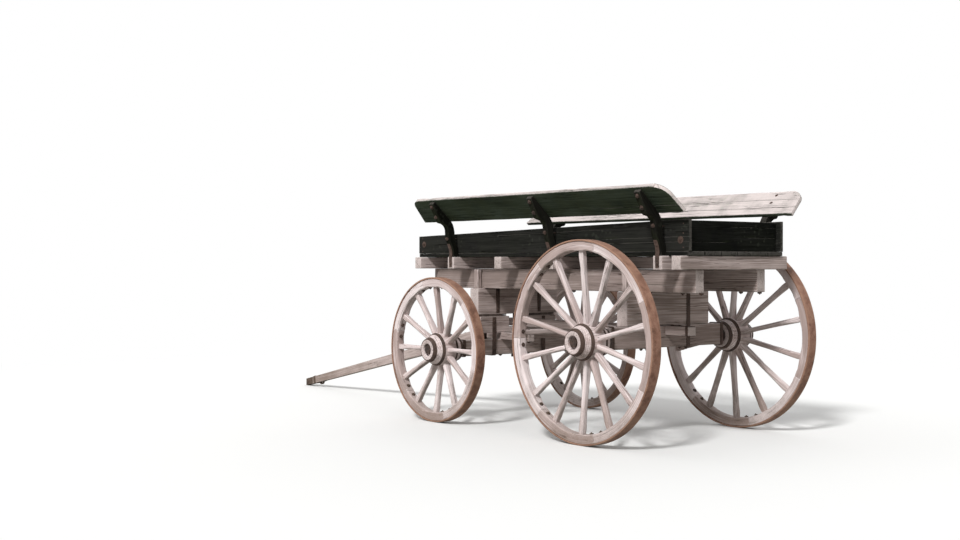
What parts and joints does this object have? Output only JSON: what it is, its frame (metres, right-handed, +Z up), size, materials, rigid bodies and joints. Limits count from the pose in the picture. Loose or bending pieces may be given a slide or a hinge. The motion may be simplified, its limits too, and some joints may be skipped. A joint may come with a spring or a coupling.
{
  "type": "hay wagon",
  "caption": "Horse-drawn wooden hay wagon with a narrow plank bed, flared side boards on S-curved struts, high spoked wheels, a turning front axle and a hinged draught pole.",
  "frame": {"origin": "on the ground, under the middle of the overall length and width", "axes": "+X forwards along the tongue, +Y to the wagon's left, +Z up"},
  "size_m": [5.4, 1.694, 1.6807],
  "materials": {
    "bed_wood": "weathered, rough",
    "flare_wood": "weathered, bleached along the edges",
    "gear_wood": "weathered, rough",
    "wheel_wood": "bleached grey, rough",
    "tyre_iron": "rusty",
    "fitting_iron": "rusty"
  },
  "bodies": {
    "wagon_bed": {"sills": "gear_wood", "cross_beams": "gear_wood", "floor_boards": "bed_wood", "side_board_left": "bed_wood", "side_board_right": "bed_wood", "end_boards": "bed_wood", "strouters_left": "bed_wood", "strouters_right": "bed_wood", "flare_board_left": "flare_wood", "flare_board_right": "flare_wood", "bolster_stakes": "gear_wood", "rear_bolster": "gear_wood", "front_bolster": "gear_wood", "rear_axle_bed": "gear_wood", "rear_hounds": "gear_wood", "reach": "gear_wood", "rear_axle_irons": "fitting_iron", "upper_wear_plate": "fitting_iron", "kingpin": "fitting_iron"},
    "front_gear": {"front_axle_bed": "gear_wood", "sand_bolster": "gear_wood", "front_hounds": "gear_wood", "sway_bar": "gear_wood", "lower_wear_plate": "fitting_iron", "front_axle_irons": "fitting_iron", "tongue_pin": "fitting_iron"},
    "tongue": {"tongue": "gear_wood", "tongue_cap": "fitting_iron"},
    "rear_left_wheel": {"rear_left_tyre": "tyre_iron", "rear_left_felloes": "wheel_wood", "rear_left_nave_and_spokes": "wheel_wood"},
    "rear_right_wheel": {"rear_right_tyre": "tyre_iron", "rear_right_felloes": "wheel_wood", "rear_right_nave_and_spokes": "wheel_wood"},
    "front_left_wheel": {"front_left_tyre": "tyre_iron", "front_left_felloes": "wheel_wood", "front_left_nave_and_spokes": "wheel_wood"},
    "front_right_wheel": {"front_right_tyre": "tyre_iron", "front_right_felloes": "wheel_wood", "front_right_nave_and_spokes": "wheel_wood"}
  },
  "joints": [
    {"name": "steering", "type": "hinge", "parent": "wagon_bed", "child": "front_gear", "pos_m": [-0.42, 0, 0.78], "axis": [0, 0, 1], "range_deg": [-35, 35]},
    {"name": "tongue_lift", "type": "hinge", "parent": "front_gear", "child": "tongue", "pos_m": [-0.09, 0, 0.625], "axis": [0, -1, 0], "range_deg": [0, 30]},
    {"name": "rear_left_spin", "type": "hinge", "parent": "wagon_bed", "child": "rear_left_wheel", "pos_m": [-2.02, 0.712, 0.67], "axis": [0, 1, 0], "continuous": true},
    {"name": "rear_right_spin", "type": "hinge", "parent": "wagon_bed", "child": "rear_right_wheel", "pos_m": [-2.02, -0.712, 0.67], "axis": [0, 1, 0], "continuous": true},
    {"name": "front_left_spin", "type": "hinge", "parent": "front_gear", "child": "front_left_wheel", "pos_m": [-0.42, 0.712, 0.54], "axis": [0, 1, 0], "continuous": true},
    {"name": "front_right_spin", "type": "hinge", "parent": "front_gear", "child": "front_right_wheel", "pos_m": [-0.42, -0.712, 0.54], "axis": [0, 1, 0], "continuous": true}
  ]
}
